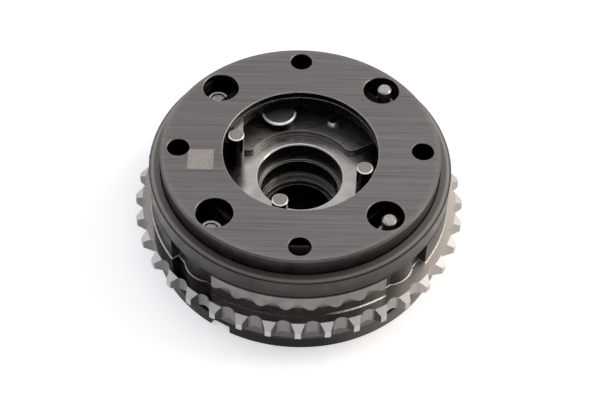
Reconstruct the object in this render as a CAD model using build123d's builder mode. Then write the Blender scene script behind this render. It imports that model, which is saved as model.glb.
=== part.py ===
from build123d import *
from math import cos, degrees, hypot, radians, sin, tan
import os

# Cam phaser: a chain wheel that a vane rotor can turn against, under oil
# pressure, to shift the valve timing. The rear face lies on z = 0, the axis is
# Z, and the spring cover faces +Z. Lengths are millimetres, angles degrees.

# Chain wheel
chain_pitch = 9.525
roller_diameter = 6.35
tooth_count = 36
tooth_height = 3.4
tooth_flank_angle = 34
sprocket_width = 5.8
sprocket_offset = 6.8
tooth_front_chamfer = 2.1
tooth_rear_chamfer = 0.9
tooth_chamfer_depth = 2.4
wheel_root_fillet = 0.4

# Body rings, from the chain wheel inwards
shoulder_width = 2.05
rim_width = 3.8
stator_wall = 5.4
skirt_wall = 2.0
collar_radius = 3.5
collar_gap = 0.5
edge_chamfer = 0.5
small_chamfer = 0.25
rim_chamfer = 0.3

# Heights, from the rear face forwards
rear_plate_thickness = 5.6
stator_height = 22.5
front_plate_thickness = 2.0
front_rim_height = 7.0
cover_height = 11.4
cover_thickness = 2.6

# Screws, dowels and the pockets beside the screws
screw_count = 4
screw_radius = 2.5
screw_hole_clearance = 0.2
screw_head_radius = 4.4
screw_head_height = 3.2
screw_head_sink = 0.25
head_hole_clearance = 0.3
socket_radius = 1.5
socket_lobe_radius = 0.55
socket_depth = 1.9
collar_height = 4.5
screw_end_sink = 0.1
hanger_radius = 2.3
hanger_sink = 0.3
dowel_radius = 2.0
dowel_depth = 3.0
dowel_circle_offset = 3.0
dowel_turn = 10
pocket_half_angle = 11
pocket_depth = 2.5
boss_wall = 6.25

# Cover openings
access_hole_radius = 6.0
access_hole_offset = 1.65
wrench_hole_radius = 3.65
wrench_circle_radius = 39.65
cover_edge_chamfer = 0.6
hole_chamfer = 0.2
cover_inner_fillet = 1.2

# Rotor and vanes
travel_angle = 35
vane_count = 4
vane_half_angle = 9
stop_play = 0.3
sealing_land = 3.25
opening_gap = 0.45
running_gap = 0.05
tip_gap = 0.1
vane_corner_fillet = 1.8
vane_root_fillet = 1.2
chamber_corner_fillet = 1.5
web_corner_fillet = 3.2
valve_mouth_radius = 13.9
valve_mouth_depth = 7.6
valve_bore_radius = 13.05
valve_bore_depth = 10.1
bolt_bore_radius = 11.2
pilot_radius = 16.0
pilot_depth = 2.0
journal_radius = 20.0
journal_sink = 0.4
bore_chamfer = 0.5
cam_pin_hole_radius = 1.6
cam_pin_hole_depth = 5.0
oil_port_radius = 0.75
oil_port_offset = 14.5
oil_groove_width = 1.7
oil_groove_depth = 0.6
oil_groove_height = 6.0
oil_groove_pitch = 2.4

# Vane tip seals and the leaf springs under them
seal_width = 2.3
seal_height = 3.0
seal_side_gap = 0.05
seal_tip_gap = 0.03
groove_depth = 3.75
leaf_thickness = 0.25
leaf_width = 1.9
leaf_length = 19.0
leaf_rise = 0.35
leaf_seat_gap = 0.03

# Return spring and the pins that carry it
spring_thickness = 3.2
spring_height = 3.6
spring_lift = 0.3
spring_turn_pitch = 3.9
spring_start_angle = 139
spring_bend_radius = 2.65
spring_bend_angle = 40
spring_flare_angle = 54
pin_circle_radius = 21.9
pin_radius = 2.6
pin_angles = (164, 253, 341)
pin_depth = 6.0
pin_sink = 0.2
pin_chamfer = 0.3
pin_gap = 0.2
spring_end_gap = 0.03
spring_steps = 60
opening_clearance = 0.8

# Lock pin group
lock_circle = 24.9
lock_angle = 107
cap_radius = 5.85
cap_height = 3.5
cap_fillet = 0.8
cap_spigot_length = 4.0
lock_pin_radius = 3.5
lock_pin_length = 12.0
lock_pin_gap = 0.03
lock_pin_wall = 1.2
lock_pin_floor = 3.0
lock_pin_chamfer = 0.6
lock_travel = 2.4
lock_rest_gap = 0.1
lock_seat_clearance = 0.25
lock_seat_depth = 3.0
sleeve_wall = 0.8
lock_wire_radius = 0.35
lock_spring_turns = 6
lock_spring_gap = 0.15

# Plate round the lock pin, and its rivet
lock_plate_thickness = 1.9
lock_plate_inner = 18.5
lock_plate_margin = 1.2
lock_plate_start = 29
lock_plate_end = 153
lock_plate_fillet = 3.0
rivet_angle = 64
rivet_radius = 2.0
rivet_shank_radius = 1.3
rivet_depth = 4.0
rivet_dome = 1.1
rivet_fillet = 0.95

# Timing notch in the rear plate
notch_angle = -120.8
notch_width = 7.3
notch_depth = 2.2
notch_fillet = 0.8

# How far a cutter runs past what it cuts, and how closely an edge is picked
cutter_overrun = 1.0
pick_tolerance = 1e-3

# Sizes that follow from the ones above
pitch_radius = chain_pitch / 2 / sin(radians(180 / tooth_count))
root_radius = pitch_radius - roller_diameter / 2
tip_radius = root_radius + tooth_height
body_radius = root_radius - shoulder_width
cover_radius = body_radius - rim_width
skirt_radius = cover_radius - skirt_wall
screw_circle = skirt_radius - collar_gap - collar_radius
access_circle = screw_circle - access_hole_offset
chamber_radius = body_radius - stator_wall
pocket_radius = body_radius - pocket_depth

spring_inner_path = pin_circle_radius + pin_radius + pin_gap + spring_thickness / 2
front_opening_radius = lock_circle + cap_radius + opening_gap
hub_radius = front_opening_radius + sealing_land
hub_bore_radius = hub_radius + running_gap
vane_radius = chamber_radius - tip_gap
cover_opening_radius = pin_circle_radius + pin_radius + opening_clearance
lock_plate_outer = front_opening_radius - lock_plate_margin

chamber_half_angle = travel_angle / 2 + vane_half_angle + stop_play
vane_angle = 90 + travel_angle / 2
screw_angle = 45

stator_bottom = rear_plate_thickness
stator_top = stator_bottom + stator_height
sprocket_bottom = stator_bottom + sprocket_offset
sprocket_top = sprocket_bottom + sprocket_width
plate_top = stator_top + front_plate_thickness
rim_top = stator_top + front_rim_height
cover_top = plate_top + cover_height
cover_underside = cover_top - cover_thickness
collar_top = plate_top + collar_height
rotor_bottom = stator_bottom + running_gap
rotor_top = stator_top - running_gap
lock_plate_top = rotor_top + lock_plate_thickness
cap_top = lock_plate_top + cap_height
spring_bottom = collar_top + spring_lift
screw_hole_radius = screw_radius + screw_hole_clearance
counterbore_radius = screw_head_radius + head_hole_clearance
counterbore_depth = screw_head_height + screw_head_sink
sleeve_bore_radius = lock_pin_radius + lock_pin_gap
sleeve_radius = sleeve_bore_radius + sleeve_wall
lock_pin_bottom = rotor_bottom + lock_rest_gap
dowel_circle = screw_circle - dowel_circle_offset
dowel_angles = (screw_angle + dowel_turn, screw_angle + dowel_turn + 180)


def on_circle(radius, angle, height=0):
    """The point at this radius and angle round the axis, at this height."""
    return (radius * cos(radians(angle)), radius * sin(radians(angle)), height)


def radial_plane(angle):
    """The upright plane through the axis whose x runs outwards at this angle and whose y is up."""
    outwards = on_circle(1, angle)
    sideways = (sin(radians(angle)), -cos(radians(angle)), 0)
    return Plane(origin=(0, 0, 0), x_dir=outwards, z_dir=sideways)


def ring_sector(inner_radius, outer_radius, start_angle, end_angle):
    """A flat piece of a ring between two angles."""
    with BuildSketch() as sector:
        with BuildLine():
            outer = CenterArc((0, 0), outer_radius, start_angle, end_angle - start_angle)
            inner = CenterArc((0, 0), inner_radius, start_angle, end_angle - start_angle)
            Line(inner @ 0, outer @ 0)
            Line(inner @ 1, outer @ 1)
        make_face()
    return sector.sketch


def corners_at(sketch, radius):
    """The corners of a sketch that lie at this distance from the axis."""
    return [v for v in sketch.vertices() if abs(hypot(v.X, v.Y) - radius) < pick_tolerance]


os.makedirs("parts", exist_ok=True)

# Stator and chain wheel: one sintered piece. Four webs run inwards to the
# rotor hub and part the oil chambers, and each carries a screw.
chamber_sector = ring_sector(
    hub_bore_radius - cutter_overrun, chamber_radius, -chamber_half_angle, chamber_half_angle
)
pocket_sector = ring_sector(
    pocket_radius, tip_radius + cutter_overrun, -pocket_half_angle, pocket_half_angle
)

# The gap between two teeth: the roller seat and the two flanks that open out
# from it to the tooth tips.
seat_radius = roller_diameter / 2
seat_end_x = pitch_radius - seat_radius * sin(radians(tooth_flank_angle))
seat_end_y = seat_radius * cos(radians(tooth_flank_angle))
flank_x = tip_radius + cutter_overrun
flank_y = seat_end_y + (flank_x - seat_end_x) * tan(radians(tooth_flank_angle))

with BuildSketch() as tooth_gap:
    with Locations((pitch_radius, 0)):
        Circle(seat_radius)
    with BuildLine():
        Polyline(
            (seat_end_x, -seat_end_y),
            (flank_x, -flank_y),
            (flank_x, flank_y),
            (seat_end_x, seat_end_y),
            close=True,
        )
    make_face()

with BuildSketch() as chamber_plan:
    Circle(hub_bore_radius)
    with PolarLocations(0, vane_count):
        add(chamber_sector)
    fillet(corners_at(chamber_plan.sketch, chamber_radius), chamber_corner_fillet)
    fillet(corners_at(chamber_plan.sketch, hub_bore_radius), web_corner_fillet)

with BuildSketch() as pocket_plan:
    with PolarLocations(0, screw_count, start_angle=screw_angle):
        add(pocket_sector)
    with PolarLocations(screw_circle, screw_count, start_angle=screw_angle):
        Circle(screw_radius + boss_wall, mode=Mode.SUBTRACT)

with BuildPart() as stator_sprocket:
    with BuildSketch(Plane.XY.offset(stator_bottom)):
        Circle(body_radius)
    extrude(amount=stator_height)
    end_edges = stator_sprocket.edges().filter_by(GeomType.CIRCLE).sort_by(Axis.Z)
    chamfer(end_edges[0], edge_chamfer)
    chamfer(end_edges[-1], rim_chamfer)
    with BuildSketch(Plane.XZ):
        with BuildLine():
            Polyline(
                (body_radius - cutter_overrun, sprocket_bottom),
                (tip_radius - tooth_chamfer_depth, sprocket_bottom),
                (tip_radius, sprocket_bottom + tooth_rear_chamfer),
                (tip_radius, sprocket_top - tooth_front_chamfer),
                (tip_radius - tooth_chamfer_depth, sprocket_top),
                (body_radius - cutter_overrun, sprocket_top),
                close=True,
            )
        make_face()
    revolve(axis=Axis.Z)
    with BuildSketch(Plane.XY.offset(stator_bottom)):
        with PolarLocations(0, tooth_count, start_angle=180 / tooth_count):
            add(tooth_gap.sketch)
    extrude(amount=stator_height, mode=Mode.SUBTRACT)
    with BuildSketch(Plane.XY.offset(stator_bottom)):
        add(pocket_plan.sketch)
    extrude(amount=sprocket_offset, mode=Mode.SUBTRACT)
    with BuildSketch(Plane.XY.offset(sprocket_top)):
        add(pocket_plan.sketch)
    extrude(amount=stator_top - sprocket_top, mode=Mode.SUBTRACT)
    wheel_roots = [
        edge
        for edge in stator_sprocket.edges()
        if min(abs(edge.center().Z - face) for face in (sprocket_bottom, sprocket_top)) < pick_tolerance
        and max(hypot(v.X, v.Y) for v in edge.vertices()) < body_radius + pick_tolerance
    ]
    fillet(wheel_roots, wheel_root_fillet)
    with BuildSketch(Plane.XY.offset(stator_bottom)):
        add(chamber_plan.sketch)
        with PolarLocations(screw_circle, screw_count, start_angle=screw_angle):
            Circle(screw_hole_radius)
        with Locations([on_circle(dowel_circle, angle)[:2] for angle in dowel_angles]):
            Circle(dowel_radius)
    extrude(amount=stator_height, mode=Mode.SUBTRACT)

stator_sprocket.part.label = "stator_sprocket"
export_step(stator_sprocket.part, "parts/stator_sprocket.step")

# Rear plate: closes the chambers behind, carries the screw heads in
# counterbores and the seats that the lock pin drops into.
with BuildSketch(Plane.XY) as notch_plan:
    with Locations(Rotation(0, 0, notch_angle)):
        with Locations((body_radius, 0)):
            Rectangle(2 * notch_depth, notch_width)
    notch_floor = [
        v for v in notch_plan.vertices() if hypot(v.X, v.Y) < body_radius - notch_depth / 2
    ]
    fillet(notch_floor, notch_fillet)

with BuildPart() as rear_plate:
    with BuildSketch():
        Circle(body_radius)
        Circle(journal_radius + running_gap, mode=Mode.SUBTRACT)
    extrude(amount=rear_plate_thickness)
    outer_edges = rear_plate.edges().filter_by(GeomType.CIRCLE).group_by(SortBy.RADIUS)[-1]
    chamfer(outer_edges, edge_chamfer)
    add(extrude(notch_plan.sketch, amount=rear_plate_thickness, mode=Mode.PRIVATE), mode=Mode.SUBTRACT)
    with Locations(Plane.XY.offset(0).rotated((180, 0, 0))):
        with PolarLocations(screw_circle, screw_count, start_angle=-screw_angle):
            CounterBoreHole(screw_hole_radius, counterbore_radius, counterbore_depth)
    with BuildSketch(Plane.XY.offset(rear_plate_thickness)):
        with Locations([on_circle(dowel_circle, angle)[:2] for angle in dowel_angles]):
            Circle(dowel_radius)
    extrude(amount=-dowel_depth, mode=Mode.SUBTRACT)
    lock_seats = [lock_angle, lock_angle - travel_angle]
    with BuildSketch(Plane.XY.offset(rear_plate_thickness)):
        with Locations([on_circle(lock_circle, angle)[:2] for angle in lock_seats]):
            Circle(lock_pin_radius + lock_seat_clearance)
    extrude(amount=-lock_seat_depth, mode=Mode.SUBTRACT)

rear_plate.part.label = "rear_plate"
export_step(rear_plate.part, "parts/rear_plate.step")

# Front plate: closes the chambers in front. Its rim holds the spring cover,
# and its four collars are pulled up and threaded for the screws.
with BuildPart() as front_plate:
    with BuildSketch(Plane.XZ):
        with BuildLine():
            Polyline(
                (front_opening_radius, stator_top),
                (body_radius - rim_chamfer, stator_top),
                (body_radius, stator_top + rim_chamfer),
                (body_radius, rim_top - rim_chamfer),
                (body_radius - rim_chamfer, rim_top),
                (cover_radius + rim_chamfer, rim_top),
                (cover_radius, rim_top - rim_chamfer),
                (cover_radius, plate_top),
                (front_opening_radius, plate_top),
                close=True,
            )
        make_face()
    revolve(axis=Axis.Z)
    with BuildSketch(Plane.XY.offset(plate_top)):
        with PolarLocations(screw_circle, screw_count, start_angle=screw_angle):
            Circle(collar_radius)
    extrude(amount=collar_height)
    collar_edges = [
        edge
        for edge in front_plate.edges().filter_by(GeomType.CIRCLE)
        if abs(edge.radius - collar_radius) < pick_tolerance
        and abs(edge.center().Z - collar_top) < pick_tolerance
    ]
    chamfer(collar_edges, small_chamfer)
    with BuildSketch(Plane.XY.offset(stator_top)):
        with PolarLocations(screw_circle, screw_count, start_angle=screw_angle):
            Circle(screw_radius)
        with Locations([on_circle(dowel_circle, angle)[:2] for angle in dowel_angles]):
            Circle(dowel_radius)
    extrude(amount=collar_top - stator_top, mode=Mode.SUBTRACT)

front_plate.part.label = "front_plate"
export_step(front_plate.part, "parts/front_plate.step")

# Spring cover: a drawn steel cup pressed into the rim of the front plate,
# with a round opening, holes over the screws and holes for a pin wrench.
with BuildPart() as front_cover:
    with BuildSketch(Plane.XZ) as cover_section:
        with BuildLine():
            Polyline(
                (cover_opening_radius, cover_top),
                (cover_radius - cover_edge_chamfer, cover_top),
                (cover_radius, cover_top - cover_edge_chamfer),
                (cover_radius, plate_top),
                (skirt_radius, plate_top),
                (skirt_radius, cover_underside),
                (cover_opening_radius, cover_underside),
                close=True,
            )
        make_face()
        inner_corner = [
            v
            for v in cover_section.vertices()
            if abs(v.X - skirt_radius) < pick_tolerance and abs(v.Z - cover_underside) < pick_tolerance
        ]
        fillet(inner_corner, cover_inner_fillet)
    revolve(axis=Axis.Z)
    with BuildSketch(Plane.XY.offset(cover_underside)):
        with PolarLocations(access_circle, screw_count, start_angle=screw_angle):
            Circle(access_hole_radius)
        with PolarLocations(wrench_circle_radius, screw_count):
            Circle(wrench_hole_radius)
    extrude(amount=cover_thickness, mode=Mode.SUBTRACT)
    hole_radii = (access_hole_radius, wrench_hole_radius, cover_opening_radius)
    hole_edges = [
        edge
        for edge in front_cover.edges().filter_by(GeomType.CIRCLE)
        if abs(edge.center().Z - cover_top) < pick_tolerance
        and min(abs(edge.radius - radius) for radius in hole_radii) < pick_tolerance
    ]
    chamfer(hole_edges, hole_chamfer)

front_cover.part.label = "front_cover"
export_step(front_cover.part, "parts/front_cover.step")

# Screws: the heads lie in the rear plate and the threads end in the collars.
# The two on the +X side run on as bare pins that the return spring can hook on.
screw_end = collar_top - screw_end_sink
hanger_end = cover_top - hanger_sink
for index in range(screw_count):
    angle = screw_angle + index * 360 / screw_count
    is_hanger = cos(radians(angle)) > 0
    name = f"hanger_screw_{index // 3 + 1}" if is_hanger else f"clamp_screw_{index}"
    centre = on_circle(screw_circle, angle)
    with BuildPart() as screw:
        with BuildSketch(Plane.XY.offset(screw_head_sink)):
            with Locations(centre[:2]):
                Circle(screw_head_radius)
        extrude(amount=screw_head_height)
        chamfer(screw.edges().filter_by(GeomType.CIRCLE).sort_by(Axis.Z)[0], edge_chamfer)
        with BuildSketch(Plane.XY.offset(counterbore_depth)):
            with Locations(centre[:2]):
                Circle(screw_radius)
        extrude(amount=screw_end - counterbore_depth)
        if is_hanger:
            with BuildSketch(Plane.XY.offset(screw_end)):
                with Locations(centre[:2]):
                    Circle(hanger_radius)
            extrude(amount=hanger_end - screw_end)
        chamfer(screw.edges().filter_by(GeomType.CIRCLE).sort_by(Axis.Z)[-1], edge_chamfer)
        with BuildSketch(Plane.XY.offset(screw_head_sink)):
            with Locations(centre[:2]):
                Circle(socket_radius)
                with PolarLocations(socket_radius, 6):
                    Circle(socket_lobe_radius)
        extrude(amount=socket_depth, mode=Mode.SUBTRACT)
    screw.part.label = name
    export_step(screw.part, f"parts/{name}.step")

# Dowels: set the two plates true to the stator.
dowel_bottom = rear_plate_thickness - dowel_depth
for index, angle in enumerate(dowel_angles):
    name = f"dowel_{index + 1}"
    with BuildPart() as dowel:
        with BuildSketch(Plane.XY.offset(dowel_bottom)):
            with Locations(on_circle(dowel_circle, angle)[:2]):
                Circle(dowel_radius)
        extrude(amount=plate_top - edge_chamfer - dowel_bottom)
        chamfer(dowel.edges().filter_by(GeomType.CIRCLE), small_chamfer)
    dowel.part.label = name
    export_step(dowel.part, f"parts/{name}.step")

# Rotor: hub and four vanes in one piece, bored for the valve in front and the
# camshaft nose behind. Two grooves in the valve bore feed two rows of oil
# ports, one to each side of every vane.
vane_sector = ring_sector(hub_radius - cutter_overrun, vane_radius, -vane_half_angle, vane_half_angle)
groove_floor = vane_radius - groove_depth
groove_width = seal_width + 2 * seal_side_gap
valve_mouth_bottom = rotor_top - valve_mouth_depth
valve_bore_bottom = valve_mouth_bottom - valve_bore_depth
pilot_top = journal_sink + pilot_depth
groove_middles = {
    -1: rotor_bottom + oil_groove_height,
    1: rotor_bottom + oil_groove_height + oil_groove_pitch,
}

with BuildSketch() as rotor_plan:
    Circle(hub_radius)
    with PolarLocations(0, vane_count, start_angle=vane_angle):
        add(vane_sector)
    fillet(corners_at(rotor_plan.sketch, vane_radius), vane_corner_fillet)
    fillet(corners_at(rotor_plan.sketch, hub_radius), vane_root_fillet)
    with PolarLocations(vane_radius, vane_count, start_angle=vane_angle):
        Rectangle(2 * groove_depth, groove_width, mode=Mode.SUBTRACT)

with BuildPart() as rotor:
    with BuildSketch(Plane.XY.offset(rotor_bottom)):
        add(rotor_plan.sketch)
    extrude(amount=rotor_top - rotor_bottom)
    with BuildSketch(Plane.XY.offset(journal_sink)):
        Circle(journal_radius)
    extrude(amount=rotor_bottom - journal_sink)
    with BuildSketch(Plane.XZ):
        with BuildLine():
            Polyline(
                (0, rotor_top + cutter_overrun),
                (valve_mouth_radius + bore_chamfer + cutter_overrun, rotor_top + cutter_overrun),
                (valve_mouth_radius, rotor_top - bore_chamfer),
                (valve_mouth_radius, valve_mouth_bottom),
                (valve_bore_radius, valve_mouth_bottom),
                (valve_bore_radius, valve_bore_bottom),
                (bolt_bore_radius, valve_bore_bottom),
                (bolt_bore_radius, pilot_top),
                (pilot_radius, pilot_top),
                (pilot_radius, 0),
                (0, 0),
                close=True,
            )
        make_face()
    revolve(axis=Axis.Z, mode=Mode.SUBTRACT)
    with BuildSketch(Plane.XY.offset(rotor_bottom)):
        with Locations(on_circle(lock_circle, lock_angle)[:2]):
            Circle(sleeve_radius)
    extrude(amount=rotor_top - rotor_bottom, mode=Mode.SUBTRACT)
    with BuildSketch(Plane.XY.offset(rotor_top)):
        with Locations([on_circle(pin_circle_radius, angle)[:2] for angle in pin_angles]):
            Circle(pin_radius)
    extrude(amount=-pin_depth, mode=Mode.SUBTRACT)
    with BuildSketch(Plane.XY.offset(rotor_top)):
        with Locations(on_circle(lock_circle, rivet_angle)[:2]):
            Circle(rivet_shank_radius)
    extrude(amount=-rivet_depth, mode=Mode.SUBTRACT)
    with BuildSketch(Plane.XY.offset(pilot_top)):
        with Locations(on_circle((bolt_bore_radius + pilot_radius) / 2, -90)[:2]):
            Circle(cam_pin_hole_radius)
    extrude(amount=cam_pin_hole_depth, mode=Mode.SUBTRACT)
    for side, middle in groove_middles.items():
        with BuildSketch(Plane.XY.offset(middle - oil_groove_width / 2)):
            Circle(valve_bore_radius + oil_groove_depth)
        extrude(amount=oil_groove_width, mode=Mode.SUBTRACT)
        for vane in range(vane_count):
            angle = vane_angle + vane * 360 / vane_count + side * oil_port_offset
            start = Plane(origin=on_circle(valve_bore_radius, angle, middle), z_dir=on_circle(1, angle))
            with BuildSketch(start):
                Circle(oil_port_radius)
            extrude(amount=hub_radius + cutter_overrun - valve_bore_radius, mode=Mode.SUBTRACT)

rotor.part.label = "rotor"
export_step(rotor.part, "parts/rotor.step")

# Vane tip seals and the bowed leaf springs that press them outwards.
seal_outer = chamber_radius - seal_tip_gap
seal_inner = seal_outer - seal_height
leaf_middle = (rotor_bottom + rotor_top) / 2
leaf_floor = groove_floor + leaf_seat_gap
for index in range(vane_count):
    angle = vane_angle + index * 360 / vane_count
    name = f"vane_seal_{index + 1}"
    with BuildPart() as vane_seal:
        with BuildSketch(Plane.XY.offset(rotor_bottom)):
            with Locations(Rotation(0, 0, angle)):
                with Locations(((seal_inner + seal_outer) / 2, 0)):
                    Rectangle(seal_height + cutter_overrun, seal_width)
            Circle(seal_outer, mode=Mode.INTERSECT)
            Circle(seal_inner, mode=Mode.SUBTRACT)
        extrude(amount=rotor_top - rotor_bottom)
    vane_seal.part.label = name
    export_step(vane_seal.part, f"parts/{name}.step")

    name = f"seal_spring_{index + 1}"
    with BuildPart() as seal_spring:
        with BuildSketch(radial_plane(angle)):
            with BuildLine():
                low = leaf_middle - leaf_length / 2
                high = leaf_middle + leaf_length / 2
                back = ThreePointArc(
                    (leaf_floor, low), (leaf_floor + leaf_rise, leaf_middle), (leaf_floor, high)
                )
                front = ThreePointArc(
                    (leaf_floor + leaf_thickness, low),
                    (leaf_floor + leaf_thickness + leaf_rise, leaf_middle),
                    (leaf_floor + leaf_thickness, high),
                )
                Line(back @ 0, front @ 0)
                Line(back @ 1, front @ 1)
            make_face()
        extrude(amount=leaf_width / 2, both=True)
    seal_spring.part.label = name
    export_step(seal_spring.part, f"parts/{name}.step")

# Spring pins: three pins pressed into the rotor's front face. They keep the
# return spring centred, and its inner end pushes on the first one.
for index, angle in enumerate(pin_angles):
    name = f"spring_pin_{index + 1}"
    with BuildPart() as spring_pin:
        with BuildSketch(Plane.XY.offset(rotor_top - pin_depth)):
            with Locations(on_circle(pin_circle_radius, angle)[:2]):
                Circle(pin_radius)
        extrude(amount=cover_top - pin_sink - rotor_top + pin_depth)
        chamfer(spring_pin.edges().filter_by(GeomType.CIRCLE), pin_chamfer)
    spring_pin.part.label = name
    export_step(spring_pin.part, f"parts/{name}.step")

# Return spring: one flat spiral of square-edged spring wire over the collars
# and the lock pin cap. A short leg stands on the first pin, two and a half turns
# run outwards, and the flared end stands against a hanger screw.
bend_centre = on_circle(spring_inner_path - spring_bend_radius, spring_start_angle)
leg_angle = spring_start_angle + spring_bend_angle
leg_heading = on_circle(1, leg_angle + 90)
first_pin = on_circle(pin_circle_radius, pin_angles[0])
pin_offset = (first_pin[0] - bend_centre[0], first_pin[1] - bend_centre[1])
leg_reach = pin_offset[0] * leg_heading[0] + pin_offset[1] * leg_heading[1]
leg_length = leg_reach - pin_radius - spring_end_gap
hanger_half_angle = degrees((hanger_radius + spring_end_gap) / screw_circle)
spring_sweep = spring_start_angle + screw_angle + 720 - hanger_half_angle
flare_start = spring_sweep - spring_flare_angle
flare_height = screw_circle - spring_inner_path - spring_turn_pitch * spring_sweep / 360


def spring_side(sweep, offset):
    """A point on one side of the wire, this far clockwise from the start of the spiral."""
    flare = max(0, sweep - flare_start) / spring_flare_angle
    radius = spring_inner_path + spring_turn_pitch * sweep / 360 + flare_height * flare**2
    return on_circle(radius + offset, spring_start_angle - sweep)[:2]


def spring_edge(offset):
    """One side of the wire, from its bend to its flared end."""
    return [spring_side(spring_sweep * k / spring_steps, offset) for k in range(spring_steps + 1)]


with BuildPart() as return_spring:
    with BuildSketch(Plane.XY.offset(spring_bottom)):
        with BuildLine():
            half = spring_thickness / 2
            outer_side = Spline(*spring_edge(half))
            inner_side = Spline(*spring_edge(-half))
            outer_bend = CenterArc(
                bend_centre, spring_bend_radius + half, spring_start_angle, spring_bend_angle
            )
            inner_bend = CenterArc(
                bend_centre, spring_bend_radius - half, spring_start_angle, spring_bend_angle
            )
            outer_leg = Line(outer_bend @ 1, outer_bend @ 1 + Vector(*leg_heading) * leg_length)
            inner_leg = Line(inner_bend @ 1, inner_bend @ 1 + Vector(*leg_heading) * leg_length)
            Line(outer_leg @ 1, inner_leg @ 1)
            Line(outer_side @ 1, inner_side @ 1)
        make_face()
    extrude(amount=spring_height)

return_spring.part.label = "return_spring"
export_step(return_spring.part, "parts/return_spring.step")

# Lock plate: a stamped plate on the rotor's front face round the lock pin
# cap, held by the cap and by one rivet.
with BuildSketch() as lock_plate_plan:
    add(ring_sector(lock_plate_inner, lock_plate_outer, lock_plate_start, lock_plate_end))
    fillet(lock_plate_plan.vertices(), lock_plate_fillet)
    with Locations(on_circle(lock_circle, lock_angle)[:2]):
        Circle(sleeve_bore_radius, mode=Mode.SUBTRACT)
    with Locations(on_circle(lock_circle, rivet_angle)[:2]):
        Circle(rivet_shank_radius, mode=Mode.SUBTRACT)

with BuildPart() as lock_plate:
    with BuildSketch(Plane.XY.offset(rotor_top)):
        add(lock_plate_plan.sketch)
    extrude(amount=lock_plate_thickness)

lock_plate.part.label = "lock_plate"
export_step(lock_plate.part, "parts/lock_plate.step")

rivet_centre = on_circle(lock_circle, rivet_angle)[:2]
with BuildPart() as plate_rivet:
    with BuildSketch(Plane.XY.offset(rotor_top - rivet_depth)):
        with Locations(rivet_centre):
            Circle(rivet_shank_radius)
    extrude(amount=rivet_depth + lock_plate_thickness)
    with BuildSketch(Plane.XY.offset(lock_plate_top)):
        with Locations(rivet_centre):
            Circle(rivet_radius)
    extrude(amount=rivet_dome)
    fillet(plate_rivet.edges().filter_by(GeomType.CIRCLE).sort_by(Axis.Z)[-1], rivet_fillet)

plate_rivet.part.label = "plate_rivet"
export_step(plate_rivet.part, "parts/plate_rivet.step")

# Lock pin group: a hardened sleeve in the rotor, the hollow pin that slides
# in it, the coil spring inside the pin, and the cap that closes it in front.
lock_centre = on_circle(lock_circle, lock_angle)[:2]
with BuildPart() as lock_sleeve:
    with BuildSketch(Plane.XY.offset(rotor_bottom)):
        with Locations(lock_centre):
            Circle(sleeve_radius)
            Circle(sleeve_bore_radius, mode=Mode.SUBTRACT)
    extrude(amount=rotor_top - rotor_bottom)

lock_sleeve.part.label = "lock_sleeve"
export_step(lock_sleeve.part, "parts/lock_sleeve.step")

with BuildPart() as lock_pin:
    with BuildSketch(Plane.XY.offset(lock_pin_bottom)):
        with Locations(lock_centre):
            Circle(lock_pin_radius)
    extrude(amount=lock_pin_length)
    chamfer(lock_pin.edges().filter_by(GeomType.CIRCLE).sort_by(Axis.Z)[0], lock_pin_chamfer)
    with BuildSketch(Plane.XY.offset(lock_pin_bottom + lock_pin_floor)):
        with Locations(lock_centre):
            Circle(lock_pin_radius - lock_pin_wall)
    extrude(amount=lock_pin_length, mode=Mode.SUBTRACT)

lock_pin.part.label = "lock_pin"
export_step(lock_pin.part, "parts/lock_pin.step")

with BuildPart() as lock_cap:
    with BuildSketch(Plane.XY.offset(lock_plate_top)):
        with Locations(lock_centre):
            Circle(cap_radius)
    extrude(amount=cap_height)
    fillet(lock_cap.edges().filter_by(GeomType.CIRCLE).sort_by(Axis.Z)[-1], cap_fillet)
    with BuildSketch(Plane.XY.offset(lock_plate_top)):
        with Locations(lock_centre):
            Circle(sleeve_bore_radius)
    extrude(amount=-(lock_plate_thickness + cap_spigot_length))

lock_cap.part.label = "lock_cap"
export_step(lock_cap.part, "parts/lock_cap.step")

lock_spring_bottom = lock_pin_bottom + lock_pin_floor + lock_wire_radius
lock_spring_top = rotor_top - cap_spigot_length - lock_wire_radius
lock_spring_height = lock_spring_top - lock_spring_bottom
lock_spring_path = lock_pin_radius - lock_pin_wall - lock_spring_gap - lock_wire_radius
with BuildPart() as lock_spring:
    with BuildLine():
        coil = Helix(
            pitch=lock_spring_height / lock_spring_turns,
            height=lock_spring_height,
            radius=lock_spring_path,
            center=(lock_centre[0], lock_centre[1], lock_spring_bottom),
        )
    with BuildSketch(Plane(origin=coil @ 0, z_dir=coil % 0)):
        Circle(lock_wire_radius)
    sweep(path=coil, is_frenet=True)

lock_spring.part.label = "lock_spring"
export_step(lock_spring.part, "parts/lock_spring.step")
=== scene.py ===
import bpy
import math
import numpy as np
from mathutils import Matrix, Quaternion, Vector
from types import SimpleNamespace

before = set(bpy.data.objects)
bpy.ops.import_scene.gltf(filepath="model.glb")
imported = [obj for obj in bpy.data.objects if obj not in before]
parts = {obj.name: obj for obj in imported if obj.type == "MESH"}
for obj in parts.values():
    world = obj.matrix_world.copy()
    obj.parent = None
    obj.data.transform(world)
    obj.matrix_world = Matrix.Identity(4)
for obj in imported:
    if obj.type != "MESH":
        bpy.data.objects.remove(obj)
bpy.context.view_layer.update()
scene = bpy.context.scene
mm = 0.001

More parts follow.
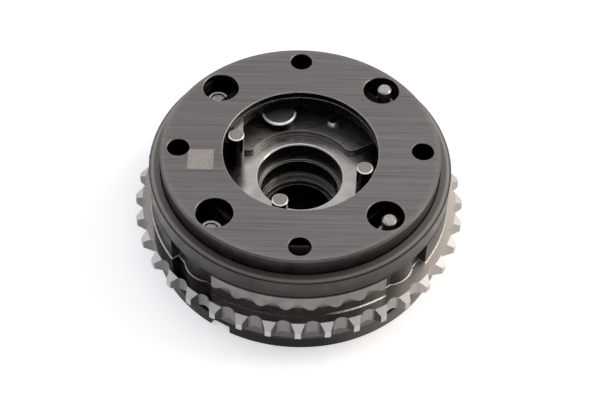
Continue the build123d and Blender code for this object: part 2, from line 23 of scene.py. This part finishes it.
# Studio: a white table under an even white sky, and a long lens that looks down at half height.
# A wide warm lamp stands at the right, a weaker cool one at the left and a low one in front. A grey
# cloth curves round behind the lens, so that bright steel which mirrors it looks darker than the sky.
look_turn = math.radians(0.9866)
look_fall = math.radians(50.697)
camera_roll = math.radians(1.796)
camera_distance = 494 * mm
camera_target = Vector((0.071 * mm, -12.743 * mm, 31.07 * mm))
look = Vector((
    math.sin(look_turn) * math.cos(look_fall),
    math.cos(look_turn) * math.cos(look_fall),
    -math.sin(look_fall),
))
camera_data = bpy.data.cameras.new("camera")
camera_data.sensor_width = 36
camera_data.lens = 91.505
camera = bpy.data.objects.new("camera", camera_data)
scene.collection.objects.link(camera)
camera.location = camera_target - camera_distance * look
camera.rotation_mode = "QUATERNION"
camera.rotation_quaternion = look.to_track_quat("-Z", "Y") @ Quaternion((0, 0, 1), camera_roll)
scene.camera = camera


def linear(colour):
    """A hex colour as linear light: the low part is a line, the rest a 2.4 power curve."""
    values = [int(colour[i:i + 2], 16) / 255 for i in (1, 3, 5)]
    return [v / 12.92 if v <= 0.04045 else ((v + 0.055) / 1.055) ** 2.4 for v in values] + [1.0]


def add_node(tree, kind, inputs=None, **settings):
    """One node: settings are its attributes, inputs its sockets' values or the links to them.
    A value in quotes is a hex colour."""
    node = tree.nodes.new(kind)
    for name, value in settings.items():
        setattr(node, name, value)
    for socket, value in (inputs or {}).items():
        if isinstance(value, bpy.types.NodeSocket):
            tree.links.new(value, node.inputs[socket])
        else:
            node.inputs[socket].default_value = linear(value) if isinstance(value, str) else value
    return node


def new_finish(name):
    """An empty material, and its tree."""
    material = bpy.data.materials.new(name)
    material.use_nodes = True
    material.node_tree.nodes.clear()
    return material, material.node_tree


def seen_directly(tree):
    """1 for rays from the camera and for mirror and glass rays, 0 for scattered light."""
    path = add_node(tree, "ShaderNodeLightPath").outputs
    mirrored = add_node(tree, "ShaderNodeMath", {0: path["Is Camera Ray"], 1: path["Is Glossy Ray"]},
                        operation="MAXIMUM")
    return add_node(tree, "ShaderNodeMath", {0: mirrored.outputs[0], 1: path["Is Transmission Ray"]},
                    operation="MAXIMUM").outputs[0]


def measures(tree):
    """Where a point lies and which way its face looks. In metres: x, y, the height above the table
    and the radius from the camshaft axis. From -1 to 1: up, which is 1 on a level face, and out,
    which is 1 on a face that looks straight away from the axis. The limit level is for zones on
    level faces, and the two limits slanted for those on chamfers between level faces and sides."""
    x, y, height = add_node(tree, "ShaderNodeSeparateXYZ", {
        0: add_node(tree, "ShaderNodeTexCoord").outputs["Object"]}).outputs
    flat = add_node(tree, "ShaderNodeCombineXYZ", {0: x, 1: y}).outputs[0]
    radius = add_node(tree, "ShaderNodeVectorMath", {0: flat}, operation="LENGTH").outputs["Value"]
    outward = add_node(tree, "ShaderNodeVectorMath", {0: flat}, operation="NORMALIZE").outputs[0]
    face = add_node(tree, "ShaderNodeNewGeometry").outputs["True Normal"]
    out = add_node(tree, "ShaderNodeVectorMath", {0: face, 1: outward}, operation="DOT_PRODUCT")
    up = add_node(tree, "ShaderNodeSeparateXYZ", {0: face}).outputs[2]
    return SimpleNamespace(
        x=x, y=y, height=height, radius=radius, up=up, out=out.outputs["Value"],
        level=(up, 0.9, 0.97), slanted=((up, 0.15, 0.25), (up, 0.97, 0.9)))


def zone(tree, *limits, share=1.0):
    """How thick a coat lies: share inside all the limits, and 0 outside. A limit is a measure, its
    value where the zone starts and its value from which the zone is full."""
    for measure, start, full in limits:
        share = add_node(tree, "ShaderNodeMapRange", {0: measure, 1: start, 2: full, 4: share}).outputs[0]
    return share


def layered(tree, base, *coats):
    """A colour or a number with coats laid over it in turn: a coat is its colour or number, and the
    zone where it lies. The Mix node has its own sockets for colours and for numbers."""
    for coat, where in coats:
        is_colour = any(isinstance(v, str) or getattr(v, "type", "") == "RGBA" for v in (base, coat))
        kind, under, over, result = ("RGBA", 6, 7, 2) if is_colour else ("FLOAT", 2, 3, 0)
        mixed = add_node(tree, "ShaderNodeMix", {0: where, under: base, over: coat}, data_type=kind)
        base = mixed.outputs[result]
    return base


sky = bpy.data.worlds.new("even_sky")
sky.use_nodes = True
sky.node_tree.nodes.clear()
# The sky lights the part less than the lens and mirrors see of it, so that the lamps give it form.
scattered_light, seen_light = 0.6, 1.0
sky_strength = layered(sky.node_tree, scattered_light, (seen_light, seen_directly(sky.node_tree)))
sky_light = add_node(sky.node_tree, "ShaderNodeBackground", {"Color": "#ffffff", "Strength": sky_strength})
add_node(sky.node_tree, "ShaderNodeOutputWorld", {"Surface": sky_light.outputs[0]})
scene.world = sky
scene.view_settings.view_transform = "Standard"

# The table is white paper with a faint glow, so that it is seen pure white. Under the part the paper is
# painted near black, a painted shade that keeps the paper's white out of the bore.
table_half = 3
table_mesh = bpy.data.meshes.new("table")
table_corners = [(x * table_half, y * table_half, 0) for x, y in ((-1, -1), (1, -1), (1, 1), (-1, 1))]
table_mesh.from_pydata(table_corners, [], [(0, 1, 2, 3)])
table = bpy.data.objects.new("table", table_mesh)
scene.collection.objects.link(table)
paper, tree = new_finish("white_paper_with_painted_shade")
off_painted_shade = (measures(tree).radius, 38 * mm, 40 * mm)
paper_colour = layered(tree, "#1c1c1c", ("#f6f6f6", zone(tree, off_painted_shade)))
matte = add_node(tree, "ShaderNodeBsdfDiffuse", {"Color": paper_colour})
paper_glow = zone(tree, off_painted_shade, (seen_directly(tree), 0, 1), share=0.3)
glow = add_node(tree, "ShaderNodeEmission", {"Color": "#ffffff", "Strength": paper_glow})
paper_sum = add_node(tree, "ShaderNodeAddShader", {0: matte.outputs[0], 1: glow.outputs[0]})
add_node(tree, "ShaderNodeOutputMaterial", {"Surface": paper_sum.outputs[0]})
table.data.materials.append(paper)


def cloth_patch(distance, turn, rise, rows=9, columns=33):
    """A patch of a sphere round the object: its two parameters are the compass angle and the
    height angle, each over a range in degrees, and every point is distance away."""
    turns, rises = np.linspace(*turn, columns), np.linspace(*rise, rows)
    compass, height = np.meshgrid(np.radians(turns), np.radians(rises))
    directions = [np.cos(compass) * np.cos(height), np.sin(compass) * np.cos(height), np.sin(height)]
    points = distance * np.stack(directions, -1)
    corner = (np.arange(rows - 1)[:, None] * columns + np.arange(columns - 1)).ravel()
    faces = np.stack([corner, corner + 1, corner + columns + 1, corner + columns], -1)
    return points.reshape(-1, 3).tolist(), faces.tolist()


cloth_points, cloth_faces = cloth_patch(distance=0.62, turn=(128, 326), rise=(24, 74))
cloth_mesh = bpy.data.meshes.new("grey_cloth")
cloth_mesh.from_pydata(cloth_points, [], cloth_faces)
cloth = bpy.data.objects.new("grey_cloth", cloth_mesh)
scene.collection.objects.link(cloth)
wool, tree = new_finish("grey_wool_cloth")
weave = add_node(tree, "ShaderNodeBsdfDiffuse", {"Color": "#b0b0b3"})
add_node(tree, "ShaderNodeOutputMaterial", {"Surface": weave.outputs[0]})
cloth.data.materials.append(wool)
cloth.visible_camera = False
cloth.visible_diffuse = False
cloth.visible_shadow = False

for lamp_name, place, width, power, colour in (
    ("right_lamp", (0.66, 0.16, 0.50), 0.55, 4.0, "#fff3e6"),
    ("left_lamp", (-0.66, 0.10, 0.50), 0.55, 1.6, "#e9eeff"),
    ("front_lamp", (0.05, -0.80, 0.30), 0.50, 2.4, "#fbfbff"),
):
    lamp_data = bpy.data.lights.new(lamp_name, "AREA")
    lamp_data.size = width
    lamp_data.energy = power
    lamp_data.color = linear(colour)[:3]
    lamp = bpy.data.objects.new(lamp_name, lamp_data)
    lamp.location = place
    lamp.rotation_mode = "QUATERNION"
    lamp.rotation_quaternion = (-Vector(place)).to_track_quat("-Z", "Y")
    scene.collection.objects.link(lamp)


# Rear plate: a turned steel disc with a dark oxide skin, which closes the oil chambers behind.
# The skin is near black and satin, with a faint grey bloom where oil has dried on it, and painted
# lighter on the right side, as painted light. Its grain is drawn coarser than the real one, so that it
# shows.
def grain(tree, size, stretch=(1, 1, 1), detail=3.0, roughness=0.55):
    """Noise of a given grain size in mm, drawn out along each axis by stretch; its value socket."""
    place = add_node(tree, "ShaderNodeTexCoord").outputs["Object"]
    scale = [1 / (size * mm * drawn_out) for drawn_out in stretch]
    scaled = add_node(tree, "ShaderNodeMapping", {"Vector": place, "Scale": scale})
    return add_node(tree, "ShaderNodeTexNoise", {
        "Vector": scaled.outputs[0], "Scale": 1.0, "Detail": detail, "Roughness": roughness}).outputs[0]


def varied(tree, pattern, first, second, low=0.3, high=0.7):
    """Two colours or numbers by a pattern: the first up to its value low, the second from high on."""
    return layered(tree, first, (second, zone(tree, (pattern, low, high))))


def shade(tree, colour, roughness, relief, depth, metallic=1.0):
    """The shader of a finish. Where the relief goes from 0 to 1, the surface rises by depth mm."""
    normal = add_node(tree, "ShaderNodeBump", {"Height": relief, "Distance": depth * mm}).outputs[0]
    finish = add_node(tree, "ShaderNodeBsdfPrincipled", {
        "Base Color": colour, "Metallic": metallic, "Roughness": roughness, "Normal": normal})
    add_node(tree, "ShaderNodeOutputMaterial", {"Surface": finish.outputs[0]})


def dress(material, *names):
    """Give a finish to the CAD pieces of these names."""
    for name in names:
        piece = parts[name]
        piece.data.materials.clear()
        piece.data.materials.append(material)


dark_oxide, tree = new_finish("dark_oxide_steel")
here = measures(tree)
bloom = grain(tree, size=2.4, detail=5.0)
# Painted light: the right side, where the warm lamp stands, is painted lighter.
painted_light_right = zone(tree, (here.x, 8 * mm, 44 * mm))
oxide_colour = layered(
    tree, varied(tree, bloom, "#161514", "#282624", low=0.35),
    ("#3c3a37", zone(tree, *here.slanted)),
    ("#6b6763", painted_light_right))
shade(tree, oxide_colour, roughness=varied(tree, bloom, 0.32, 0.5),
      relief=grain(tree, size=0.3), depth=0.01)
dress(dark_oxide, "rear_plate")


# Stator with the chain wheel: pressed and sintered steel in one piece, hardened and blasted grey.
# Its wall and its level faces are turned bright and mirror what is round them. The teeth keep a
# light satin grain, with painted shade where it faces sideways, and the pockets by the screws stay dull
# and darker with painted shade.
def box_of(name):
    """The lowest and the highest corner of a CAD piece, in metres."""
    corners = np.array(parts[name].bound_box)
    return SimpleNamespace(low=Vector(corners.min(axis=0)), high=Vector(corners.max(axis=0)))


def above(measure, edge, blur=0.05 * mm):
    """The limit of a zone that lies above an edge, which is soft by blur to either side."""
    return measure, edge - blur, edge + blur


def below(measure, edge, blur=0.05 * mm):
    """The limit of a zone that lies below an edge, which is soft by blur to either side."""
    return measure, edge + blur, edge - blur


sintered, tree = new_finish("sintered_steel")
here = measures(tree)
sideways = add_node(tree, "ShaderNodeMath", {0: here.x}, operation="ABSOLUTE").outputs[0]

# The wheel's two faces and the margins of the zones are set here, and the wall, the tooth tips and the
# stator's top come from the CAD pieces' bounds. The teeth slant at the front from slope_foot outwards.
wheel_bottom = 12.4 * mm
wheel_top = 18.2 * mm
fillet_reach = 0.53 * mm
pocket_margin = 0.22 * mm
slope_depth = 2.47 * mm
tip_margin = 0.19 * mm
joint_band = 0.8 * mm
wall_radius = box_of("rear_plate").high.x
tooth_tip = box_of("stator_sprocket").high.x
stator_top = box_of("stator_sprocket").high.z
slope_foot = tooth_tip - slope_depth

by_wall = below(here.radius, wall_radius + fillet_reach)
off_level = (here.up, 0.6, 0.3)
nearly_level = (here.up, 0.6, 0.7)
faced = zone(tree, nearly_level, below(here.radius, slope_foot, blur=0.1 * mm))
turned_wall = zone(tree, by_wall)
tooth_slope = zone(tree, *here.slanted, above(here.radius, slope_foot, blur=0.1 * mm))
tooth_end = zone(tree, above(here.radius, tooth_tip - tip_margin, blur=0.075 * mm))

# The sides of the gaps between the teeth are painted dark as painted shade, apart from the far left and
# right.
gap_sides = ((here.out, 0.86, 0.62), (here.up, 0.5, 0.3))
middle_stretch = ((here.x, -44 * mm, -34 * mm), (here.x, 40 * mm, 28 * mm))
painted_gap_shade = zone(tree, *gap_sides, *middle_stretch)

# The small fillet between wheel and wall is painted dark as painted shade too, with a painted highlight on
# two stretches.
fillet_bottom = above(here.height, wheel_top - 0.15 * mm)
fillet_top = below(here.height, wheel_top + 0.6 * mm, blur=0.1 * mm)
root_fillet = zone(tree, by_wall, (here.up, 0.98, 0.95), fillet_bottom, fillet_top)
fillet_highlight_right = zone(tree, (here.x, 8 * mm, 22 * mm))
fillet_highlight_left = zone(tree, (here.x, -28 * mm, -36 * mm))
fillet_colour = layered(tree, "#2d2b2a", ("#b4b2b1", fillet_highlight_right), ("#b4b2b1", fillet_highlight_left))

# Painted shade: the wall is darker at the far left and right, in the pockets, below the wheel and under
# the plate.
far_side = above(sideways, 38.5 * mm, blur=0.5 * mm)
over_fillet = above(here.height, wheel_top + 0.75 * mm)
side_wall = zone(tree, by_wall, off_level, far_side, over_fillet)
under_plate = zone(tree, by_wall, above(here.height, stator_top - joint_band, blur=0.1 * mm))
pocket_wall = zone(tree, below(here.radius, wall_radius - pocket_margin), off_level)
low_wall = zone(tree, by_wall, off_level, below(here.height, wheel_bottom + 0.05 * mm))

# Real pores are under 0.1 mm wide and wouldn't show, so they are drawn at 0.35 mm.
pores = grain(tree, size=0.35, detail=4.0)
patches = grain(tree, size=5.0)
# Painted light: the right side is painted lighter, on the blasted grain and on the level faces.
painted_light_right = zone(tree, (here.x, 10 * mm, 38 * mm))
upper_side = zone(tree, (here.up, 0.6, 0.8))
blasted_colour = layered(
    tree, varied(tree, pores, "#676562", "#7d7b79"),
    ("#a09b95", painted_light_right),
    (varied(tree, pores, "#8d8c8c", "#a7a6a5"), upper_side),
    ("#2f2e2d", painted_gap_shade),
    ("#b1afad", tooth_slope),
    ("#b1afad", tooth_end))
stator_colour = layered(
    tree, blasted_colour,
    (varied(tree, patches, "#6c6967", "#7b7875", low=0.35, high=0.65), turned_wall),
    (layered(tree, "#8b8784", ("#c6c0b8", painted_light_right)), faced),
    (fillet_colour, root_fillet),
    ("#4b4847", side_wall),
    ("#2a2827", under_plate),
    ("#3d3a38", pocket_wall),
    ("#5e5b59", low_wall))
turned_roughness = varied(tree, pores, 0.07, 0.13)
satin_roughness, dull_roughness = 0.44, 0.45
stator_roughness = layered(
    tree, varied(tree, pores, 0.24, 0.34),
    (turned_roughness, turned_wall),
    (turned_roughness, faced),
    (satin_roughness, tooth_slope),
    (satin_roughness, tooth_end),
    (satin_roughness, zone(tree, (faced, 0, 1), (painted_light_right, 0, 1))),
    (dull_roughness, side_wall),
    (dull_roughness, pocket_wall),
    (dull_roughness, root_fillet))
flat_height = 0.5
pore_relief = layered(tree, pores, (flat_height, turned_wall), (flat_height, faced))
shade(tree, stator_colour, stator_roughness, relief=pore_relief, depth=0.03)
dress(sintered, "stator_sprocket")


# Rotor: sintered steel, its face ground bright after hardening, its bores turned.
# The face mirrors what stands on it. The bore walls are darker: oil in their pores, and painted shade
# deep in the bore. Outside 28.45 mm the face is painted near black, as painted shade under the spring
# and cover. Tool marks and pores are drawn coarser than the real ones, so that they show.
def sharp_edge_band(tree, reach):
    """The limit of a zone along sharp edges: it is full where the normal, rounded over reach mm,
    clearly departs from the face's own, so that the two are no longer alike."""
    alike, on_edge = 0.99, 0.88
    rounded = add_node(tree, "ShaderNodeBevel", {"Radius": reach * mm}, samples=8).outputs[0]
    face = add_node(tree, "ShaderNodeNewGeometry").outputs["True Normal"]
    likeness = add_node(tree, "ShaderNodeVectorMath", {0: rounded, 1: face}, operation="DOT_PRODUCT")
    return likeness.outputs["Value"], alike, on_edge


ground_rotor, tree = new_finish("ground_rotor_steel")
here = measures(tree)
rotor_top = box_of("rotor").high.z
bore_reach = 14.25 * mm
mouth_reach = 14.65 * mm
rim_shade_start = 28.45 * mm
mouth_chamfer = 0.25 * mm
mouth_floor_reach = 21.5 * mm
on_top = above(here.height, rotor_top - 0.04 * mm, blur=0.01 * mm)
upright = (here.up, 0.25, 0.15)
in_bore = zone(tree, below(here.radius, bore_reach), upright)
# Painted shade: the face's outer rim is near black.
face_rim_shade = zone(tree, above(here.radius, rim_shade_start, blur=0.15 * mm), on_top)

# The bore's edges carry painted highlights. They are about as thin as a pixel, so they are drawn as light
# and hardly metallic bands, which stay light whatever they would mirror.
in_mouth = below(here.radius, mouth_reach)
on_chamfer = above(here.height, rotor_top - mouth_chamfer, blur=0.02 * mm)
mouth_highlight = zone(tree, *here.slanted, in_mouth, on_chamfer)
by_mouth_floor = below(here.height, mouth_floor_reach, blur=0.5 * mm)
lower_edge_highlight = zone(tree, sharp_edge_band(tree, reach=0.3), in_mouth, by_mouth_floor)
tool_marks = grain(tree, size=0.25, stretch=(6, 6, 1), detail=4.0)
oil_grain = grain(tree, size=0.5, stretch=(1.6, 1.6, 1), detail=5.0, roughness=0.7)
cloud = grain(tree, size=6.0)
rotor_colour = layered(
    tree, varied(tree, cloud, "#a29f9c", "#bdbab7"),
    (varied(tree, oil_grain, "#3a3937", "#72706d", low=0.35, high=0.65), in_bore),
    ("#2e2c2a", face_rim_shade),
    ("#f2f0ee", mouth_highlight),
    ("#f2f0ee", lower_edge_highlight))
shade(tree, rotor_colour, roughness=layered(tree, varied(tree, tool_marks, 0.18, 0.26), (0.36, in_bore)),
      relief=layered(tree, tool_marks, (oil_grain, in_bore)), depth=0.01,
      metallic=layered(tree, 1.0, (0.1, mouth_highlight), (0.1, lower_edge_highlight)))
dress(ground_rotor, "rotor")


# Vane seals: small bars of brown moulded PEEK in the vane tips, pushed out by bowed leaf springs.
# They are hidden once the plates are on, and have the dull skin of a moulding. The springs are cut
# from bright rolled strip, whose fine lines run across them.
moulded_peek, tree = new_finish("moulded_peek")
seal_speckle = grain(tree, size=0.5)
shade(tree, varied(tree, seal_speckle, "#6a5236", "#7d6342", low=0.35, high=0.65),
      roughness=varied(tree, seal_speckle, 0.5, 0.62), relief=seal_speckle, depth=0.01, metallic=0.0)
dress(moulded_peek, *[f"vane_seal_{n}" for n in range(1, 5)])
rolled_strip, tree = new_finish("rolled_spring_strip")
rolling = grain(tree, size=0.12, stretch=(30, 30, 1))
shade(tree, varied(tree, rolling, "#8a8a8e", "#a9a9ac"), roughness=varied(tree, rolling, 0.2, 0.32),
      relief=rolling, depth=0.004)
dress(rolled_strip, *[f"seal_spring_{n}" for n in range(1, 5)])


# Lock pin group: pin and sleeve of hardened steel, ground bright, with a coil spring of drawn wire.
# A turned cap with a dark phosphate skin holds them in; its sides are near black, the skin with painted
# shade. Its rim has a painted highlight on the near side. Its crystals are far finer in truth, and are
# drawn at 0.5 mm so that they show.
hardened, tree = new_finish("ground_hardened_steel")
polish = grain(tree, size=0.15, stretch=(6, 6, 1))
shade(tree, varied(tree, polish, "#a19e9a", "#c4c1bd"), roughness=varied(tree, polish, 0.14, 0.28),
      relief=polish, depth=0.004)
dress(hardened, "lock_pin", "lock_sleeve", "dowel_1", "dowel_2")
drawn_wire, tree = new_finish("drawn_spring_wire")
drawing = grain(tree, size=0.2)
shade(tree, varied(tree, drawing, "#77746f", "#93908a"), roughness=varied(tree, drawing, 0.25, 0.4),
      relief=drawing, depth=0.006)
dress(drawn_wire, "lock_spring")
phosphate, tree = new_finish("phosphated_cap_steel")
here = measures(tree)
cap_box = box_of("lock_cap")
cap_middle_y = (cap_box.low.y + cap_box.high.y) / 2
off_level = (here.up, 0.995, 0.97)
off_upright = (here.up, 0.1, 0.3)
near_half = (here.y, cap_middle_y + 0.4 * mm, cap_middle_y - 0.6 * mm)
near_rim_highlight = zone(tree, off_level, off_upright, near_half)
crystals = grain(tree, size=0.5, detail=5.0, roughness=0.7)
cap_colour = layered(
    tree, "#0e0e0e",
    (varied(tree, crystals, "#5a5a59", "#92928f"), zone(tree, off_upright)),
    ("#f0f1ef", near_rim_highlight))
shade(tree, cap_colour, roughness=layered(tree, 0.42, (0.3, zone(tree, off_level))),
      relief=crystals, depth=0.012, metallic=layered(tree, 1.0, (0.4, near_rim_highlight)))
dress(phosphate, "lock_cap")


# Front plate: pressed steel, turned all over, with the upright rim that holds the cover.
# The turned skin is dark satin from oil blacking, darker low down, and painted lighter on the rim's top,
# as painted light, with a ring of painted highlight. The collars under the large holes have painted
# highlights on their cut edges.
turned_plate, tree = new_finish("turned_plate_steel")
here = measures(tree)
rim_height = box_of("front_plate").high.z
collar_reach = 43.55 * mm
ring_inner_radius = 47.8 * mm
ring_outer_radius = 48.75 * mm
rim_edge_radius = 48.85 * mm
collar_chamfer_foot = 34.05 * mm
low_down = zone(tree, (here.height, 33 * mm, 27.5 * mm), share=0.7)
at_rim_height = above(here.height, rim_height - 0.075 * mm, blur=0.025 * mm)
rim_top = zone(tree, (here.up, 0.97, 0.99), at_rim_height)
ring_start = above(here.radius, ring_inner_radius, blur=0.2 * mm)
ring_end = below(here.radius, ring_outer_radius, blur=0.15 * mm)
ring_highlight = zone(tree, ring_start, ring_end)
rim_edge = zone(tree, *here.slanted, above(here.radius, rim_edge_radius))
on_collar = above(here.height, collar_chamfer_foot)
off_upright = (here.up, 0.3, 0.4)
collar_highlight = zone(tree, off_upright, on_collar, below(here.radius, collar_reach))
rings = grain(tree, size=0.3, stretch=(20, 20, 1), detail=4.0)
stain = grain(tree, size=7.0, detail=4.0)
plate_colour = layered(
    tree, varied(tree, stain, "#353231", "#464340", low=0.35, high=0.65),
    ("#1f1d1c", low_down),
    (layered(tree, "#6a6764", ("#918c88", ring_highlight)), rim_top),
    ("#2c2a28", rim_edge),
    ("#ffffff", collar_highlight))
shade(tree, plate_colour, roughness=layered(tree, varied(tree, rings, 0.26, 0.4), (0.5, rim_top)),
      relief=rings, depth=0.01, metallic=layered(tree, 1.0, (0.0, collar_highlight)))
dress(turned_plate, "front_plate")


# Screws: four steel bolts from behind, zinc phosphated; two end in bare pins that carry the spring.
# The crystals give a light matte grain. It is drawn coarser than the real one, so that it shows. The
# low cut ends, which the holes shade, are painted near white and not metallic, as painted light.
zinc_phosphate, tree = new_finish("zinc_phosphated_steel")
here = measures(tree)
clamp_end = box_of("clamp_screw_1").high.z
painted_light_end = zone(tree, here.level, below(here.height, clamp_end + 1.75 * mm, blur=0.25 * mm))
flakes = grain(tree, size=0.45, detail=5.0)
screw_colour = layered(
    tree, varied(tree, flakes, "#8d8a87", "#bdbab7"),
    (varied(tree, flakes, "#b9b8b6", "#ffffff", low=0.4, high=0.6), painted_light_end))
shade(tree, screw_colour, roughness=varied(tree, flakes, 0.3, 0.5), relief=flakes, depth=0.02,
      metallic=layered(tree, 1.0, (0.0, painted_light_end)))
dress(zinc_phosphate, "clamp_screw_1", "clamp_screw_2", "hanger_screw_1", "hanger_screw_2")


# Spring pins: three hardened pins pressed into the rotor's face, which hold the spring's inner turn.
# Their ends are ground flat and dull with a painted highlight on the rim, and their sides are near
# black and shiny from the blacking bath.
blacked_pin, tree = new_finish("blacked_pin_steel")
here = measures(tree)
pin_end = zone(tree, here.level)
pin_rim_highlight = zone(tree, *here.slanted)
pin_speckle = grain(tree, size=0.5, detail=4.0)
pin_colour = layered(
    tree, varied(tree, pin_speckle, "#211c17", "#37312a"),
    (varied(tree, pin_speckle, "#7d7975", "#9c9894"), pin_end),
    ("#f2f0ed", pin_rim_highlight))
shade(tree, pin_colour, roughness=layered(tree, 0.09, (0.45, pin_end)), relief=pin_speckle, depth=0.01,
      metallic=layered(tree, 1.0, (0.2, pin_rim_highlight)))
dress(blacked_pin, "spring_pin_1", "spring_pin_2", "spring_pin_3")


# Lock plate and its rivet: a stamped strip under the cap, riveted to the rotor's face.
# The strip is satin, with streaks from rolling and painted highlights on its sheared edges. The rivet's
# head is darker, with a painted highlight at its rim.
stamped, tree = new_finish("stamped_strip_steel")
here = measures(tree)
sheared_edge_highlight = zone(tree, sharp_edge_band(tree, reach=0.18))
streaks = grain(tree, size=0.6, stretch=(5, 1, 1), detail=4.0)
strip_colour = layered(
    tree, "#6d6a67",
    (varied(tree, streaks, "#8b8b89", "#a9a9a6"), zone(tree, here.level)),
    ("#f2f0ee", sheared_edge_highlight))
shade(tree, strip_colour, roughness=varied(tree, streaks, 0.26, 0.4), relief=streaks, depth=0.01,
      metallic=layered(tree, 1.0, (0.3, sheared_edge_highlight)))
dress(stamped, "lock_plate")
riveted, tree = new_finish("rivet_steel")
rivet_rim_highlight = zone(tree, (measures(tree).up, 0.97, 0.85))
dents = grain(tree, size=0.6, detail=4.0)
rivet_colour = layered(tree, varied(tree, dents, "#4e4d4b", "#6f6d6a"), ("#cfccc8", rivet_rim_highlight))
shade(tree, rivet_colour, roughness=0.3, relief=dents, depth=0.015)
dress(riveted, "plate_rivet")


# Return spring: square-edged spring steel wound flat and oil tempered, dark brown-black all over, which
# is also painted shade. Its inner leg is painted lighter where it bears on the pin, as painted light, and
# its long edges carry painted highlights.
tempered, tree = new_finish("oil_tempered_steel")
here = measures(tree)
leg_reach = 26.5 * mm
lit_inner_leg = zone(tree, here.level, below(here.radius, leg_reach, blur=0.3 * mm))
long_edge_highlight = zone(tree, sharp_edge_band(tree, reach=0.14))
scale_marks = grain(tree, size=0.8, stretch=(1, 1, 3), detail=4.0)
wire_colour = layered(
    tree, varied(tree, scale_marks, "#060505", "#14120f"),
    (varied(tree, scale_marks, "#918f89", "#b0aea8"), lit_inner_leg),
    ("#4c4a45", long_edge_highlight))
shade(tree, wire_colour, roughness=varied(tree, scale_marks, 0.22, 0.36), relief=scale_marks, depth=0.008,
      metallic=layered(tree, 1.0, (0.6, long_edge_highlight)))
dress(tempered, "return_spring")


# Front cover: a drawn steel cup over the spring, oil blacked, its face then ground in straight lines.
# The ground face is a warm mid grey, lighter near its outer edge and in a small frosted square. The
# wall keeps its near black skin, the walls inside are painted darker still as painted shade, and the
# edges of the openings carry painted highlights.
ground_cover, tree = new_finish("ground_cover_steel")
here = measures(tree)
cover_top = box_of("front_cover").high.z
lip_reach = 26.1 * mm
wall_core = 44.45 * mm
edge_depth = 0.35 * mm
square_middle = (-32.2 * mm, -5.0 * mm)
square_half = 4.15 * mm
square_limits = []
for across, middle in zip((here.x, here.y), square_middle):
    square_limits.append(above(across, middle - square_half, blur=0.15 * mm))
    square_limits.append(below(across, middle + square_half, blur=0.15 * mm))
in_square = zone(tree, *square_limits)
on_face = zone(tree, here.level)
outer_edge = zone(tree, (here.radius, 43.2 * mm, 45.0 * mm), share=0.25)
inside_wall = below(here.radius, wall_core)

# Like the rotor's edges, these edges carry painted highlights as light bands. Those of the holes are half
# as strong.
on_edge = sharp_edge_band(tree, reach=0.3)
lip_highlight = zone(tree, on_edge, below(here.radius, lip_reach, blur=0.1 * mm))
past_lip = above(here.radius, lip_reach, blur=0.1 * mm)
near_top = above(here.height, cover_top - edge_depth)
hole_edge_highlights = zone(tree, on_edge, past_lip, inside_wall, near_top, share=0.5)

# The grinding lines run along x. They are drawn broader than the real ones, so that they show.
fine_lines = grain(tree, size=0.4, stretch=(45, 1, 1), detail=5.0, roughness=0.8)
broad_lines = grain(tree, size=0.9, stretch=(60, 1, 1))
face_lines = add_node(tree, "ShaderNodeMath", {0: fine_lines, 1: broad_lines}, operation="ADD").outputs[0]
frost = grain(tree, size=0.7, detail=4.0)
skin = grain(tree, size=4.0, detail=4.0)
face_colour = layered(
    tree, varied(tree, face_lines, "#686363", "#7e7979", low=0.74, high=1.26),
    ("#98928d", outer_edge),
    (varied(tree, frost, "#8d8681", "#a8a19c"), in_square))
# Painted shade: everything inside wall_core is near black.
cover_colour = layered(
    tree, varied(tree, skin, "#2b2928", "#3d3a37", low=0.35, high=0.65),
    ("#090808", zone(tree, inside_wall)),
    (face_colour, on_face),
    ("#5e5a57", zone(tree, *here.slanted)),
    ("#f4f2ef", lip_highlight),
    ("#f4f2ef", hole_edge_highlights))
shade(tree, cover_colour, roughness=layered(tree, 0.36, (varied(tree, fine_lines, 0.34, 0.5), on_face)),
      relief=face_lines, depth=0.01, metallic=layered(tree, 1.0, (0.1, lip_highlight), (0.1, hole_edge_highlights)))
dress(ground_cover, "front_cover")
